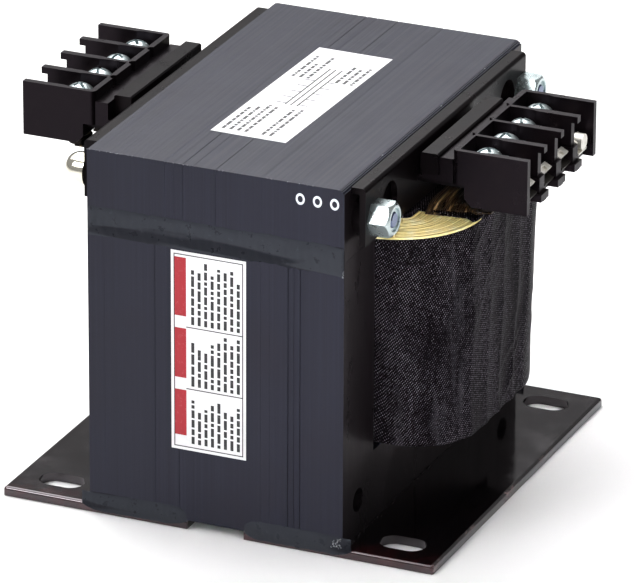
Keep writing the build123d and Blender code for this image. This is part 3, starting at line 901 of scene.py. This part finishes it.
def front_sticker():
    """Three cells one above another, each with a red band at its left and rows of bars."""
    lo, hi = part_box("label_front")
    tall, wide = hi.z - lo.z, hi.x - lo.x

    def place(u, v, w):
        # u runs up the sticker, v from its left edge, w out of the core
        return Vector((lo.x + v, hi.y - w, lo.z + u))

    film = sticker_piece("front_sticker_film", [(0, tall, 0, wide)], STICKER, place, 0, FILM)
    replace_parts(film, "label_front")
    margin, line = 0.9 * MM, 0.28 * MM
    left, right, low, high = margin, wide - margin, margin, tall - margin
    rules = [(low, high, left, left + line), (low, high, right - line, right),
             (low, low + line, left, right), (high - line, high, left, right)]
    band = left + line + 3.6 * MM
    cells = [low + line + (tall - 2 * margin) * share for share in (0, 0.30, 0.62, 0.985)]
    rules += [(cell, cell + line, band, right) for cell in cells[1:3]]
    reds, bars = [], []
    rng = random.Random(3)
    for start, stop in zip(cells[:-1], cells[1:]):
        reds.append((start + 3.4 * MM, stop - 0.4 * MM, left + line, band))
        v = band + 1.6 * MM
        while v < right - 1.8 * MM:
            bars += word_bars(start + 1.1 * MM, stop - rng.uniform(1.0, 6.5) * MM, v, rng)
            v += 2.05 * MM
    sticker_piece("front_sticker_rules", rules, BLACK, place)
    sticker_piece("front_sticker_band", reds, RED, place)
    sticker_piece("front_sticker_bars", bars, BLACK, place)


def top_sticker():
    """Rows of bars at both ends, and between them a plain diagram of two rows of loops."""
    lo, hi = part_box("label_top")
    turn = math.radians(-1.1)
    centre = (lo + hi) / 2
    long, wide = 75.2 * MM, 23.9 * MM

    def place(u, v, w):
        # u runs along the sticker from its front end, v from its left edge, w up
        x, y = v - wide / 2, u - long / 2
        return Vector((centre.x + x * math.cos(turn) - y * math.sin(turn),
                       centre.y + x * math.sin(turn) + y * math.cos(turn), lo.z + w))

    film = sticker_piece("top_sticker_film", [(0, long, 0, wide)], STICKER, place, 0, FILM)
    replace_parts(film, "label_top")
    rng = random.Random(11)
    bars = []
    for v in (2.0, 4.4, 6.8, 9.2, 14.6, 17.0):
        bars += word_bars(3 * MM, rng.uniform(18, 26) * MM, v * MM, rng)
    for v in (2.4, 4.8, 7.2, 16.4, 18.8, 21.2):
        bars += word_bars(50 * MM, rng.uniform(62, 71) * MM, v * MM, rng)
    rule, tail = 0.5 * MM, 3.2 * MM
    for row, away in ((10.4 * MM, -tail), (14.2 * MM, tail)):
        bars.append((28 * MM, 60 * MM, row, row + rule))
        for k in range(5):
            u = (29 + 5 * k) * MM
            bars.append((u, u + 0.4 * MM, *sorted((row, row + away))))
    bars.append((28 * MM, 60 * MM, 12.2 * MM, 12.2 * MM + rule))
    sticker_piece("top_sticker_bars", bars, BLACK, place, FILM, 0.112 * MM)


front_sticker()
top_sticker()


def inspection_rings():
    """Three small printed rings near the upper right corner of the front face."""
    bm = bmesh.new()
    steps, squeeze = 28, 0.8
    outer, inner, height = 1.75 * MM, 1.0 * MM, 0.05 * MM
    for k in range(3):
        centre = Vector((HX - (3.0 + 5.3 * k) * MM, -HY - 0.005 * MM, CORE_TOP - 4.6 * MM))
        loops = []
        for r, w in ((outer, 0), (outer, height), (inner, height), (inner, 0)):
            angles = [2 * math.pi * i / steps for i in range(steps)]
            loops.append([bm.verts.new(centre + Vector((squeeze * r * math.cos(a), -w, r * math.sin(a))))
                          for a in angles])
        for a, b in zip(loops, loops[1:] + loops[:1]):
            for i in range(steps):
                bm.faces.new((a[i], a[(i + 1) % steps], b[(i + 1) % steps], b[i]))
    bmesh_piece("inspection_rings", bm, WHITE_INK)


inspection_rings()


# Stage, light and camera -----------------------------------------------------------------------------
def stage():
    size = 6.0
    mesh = bpy.data.meshes.new("floor")
    corners = [(-size, -size, 0), (size, -size, 0), (size, size, 0), (-size, size, 0)]
    mesh.from_pydata(corners, [], [(0, 1, 2, 3)])
    paper = Finish("floor_paper", (0.90, 0.90, 0.90), Roughness=0.6)
    paper.tint(paper.ramp(paper.noise(3, 2), 0.4, 0.7, 0, 0.3), (0.88, 0.88, 0.885))
    mesh.materials.append(paper.material)
    floor = bpy.data.objects.new("floor", mesh)
    bpy.context.scene.collection.objects.link(floor)
    floor.location.z = -0.2 * MM


def area_light(name, at, aim, size, power):
    data = bpy.data.lights.new(name, "AREA")
    data.shape, data.size, data.energy = "SQUARE", size, power
    lamp = bpy.data.objects.new(name, data)
    lamp.location = at
    lamp.rotation_euler = (Vector(aim) - Vector(at)).to_track_quat("-Z", "Y").to_euler()
    bpy.context.scene.collection.objects.link(lamp)
    return lamp


def studio():
    """A broad light overhead, a key from the left, and a narrow fill on the right-hand bracket."""
    world = bpy.data.worlds.new("studio")
    world.use_nodes = True
    bpy.context.scene.world = world
    world.node_tree.nodes["Background"].inputs["Color"].default_value = (1, 1, 1, 1)
    world.node_tree.nodes["Background"].inputs["Strength"].default_value = 0.28
    middle = (0, 0, 0.06)
    area_light("overhead", (-0.40, 0.35, 1.10), middle, 1.5, 22.5)
    area_light("key", (-0.70, -0.95, 0.95), middle, 0.5, 7.4)
    fill = area_light("fill", (0.45, -0.75, 0.42), (0.056, -0.03, 0.095), 0.2, 0.10)
    fill.data.spread, fill.visible_glossy = math.radians(14), False
    view = bpy.context.scene.view_settings
    view.view_transform, view.look = "Standard", "Medium High Contrast"


def camera():
    azimuth, elevation, roll = (math.radians(a) for a in (23.46, 22.57, 0.25))
    target = Vector((0.087, 0, 1.164)) * TONGUE
    distance = 44.79 * TONGUE
    back = Vector((math.sin(azimuth) * math.cos(elevation), -math.cos(azimuth) * math.cos(elevation),
                   math.sin(elevation)))
    data = bpy.data.cameras.new("camera")
    data.sensor_width, data.lens = 36.0, 378.793
    data.clip_end = 50
    view = bpy.data.objects.new("camera", data)
    look = (-back).to_track_quat("-Z", "Y").to_matrix() @ Matrix.Rotation(roll, 3, "Z")
    view.matrix_world = Matrix.Translation(target + back * distance) @ look.to_4x4()
    bpy.context.scene.collection.objects.link(view)
    bpy.context.scene.camera = view


stage()
studio()
camera()
